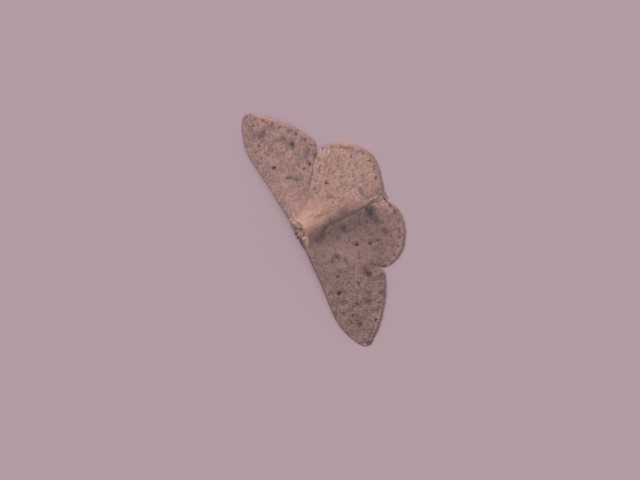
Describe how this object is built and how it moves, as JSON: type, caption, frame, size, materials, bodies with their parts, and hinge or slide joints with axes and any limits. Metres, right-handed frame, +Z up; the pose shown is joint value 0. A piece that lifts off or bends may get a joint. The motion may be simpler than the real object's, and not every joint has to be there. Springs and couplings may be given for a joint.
{
  "type": "moth",
  "caption": "Small wave moth at rest with its buff, dark-dotted wings spread flat, a still life-size model that rests on its feet.",
  "frame": {"origin": "centre of the outline seen from above, at the level of the soles of the feet", "axes": "+Z up, the head points to -Y, the moth's left side is +X, tip to tip along X"},
  "size_m": [0.026, 0.0112, 0.0026],
  "materials": {
    "wing_scales": "matt, powdery overlapping scales in buff and grey-brown",
    "body_scales": "matt, buff scales in rings",
    "hair_scales": "soft, pale golden hair-like scales",
    "eye": "dark, finely faceted and slightly glossy",
    "feeler": "matt, ringed with fine pale scales",
    "face": "matt blackish-brown scales",
    "leg": "matt buff scales"
  },
  "bodies": {
    "root": {"head": "hair_scales", "thorax": "hair_scales", "abdomen": "body_scales", "eye_left": "eye", "antenna_left": "feeler", "palp_left": "face", "forewing_left": "wing_scales", "hindwing_left": "wing_scales", "leg_front_left": "leg", "leg_middle_left": "leg", "leg_hind_left": "leg", "eye_right": "eye", "antenna_right": "feeler", "palp_right": "face", "forewing_right": "wing_scales", "hindwing_right": "wing_scales", "leg_front_right": "leg", "leg_middle_right": "leg", "leg_hind_right": "leg"}
  },
  "joints": []
}
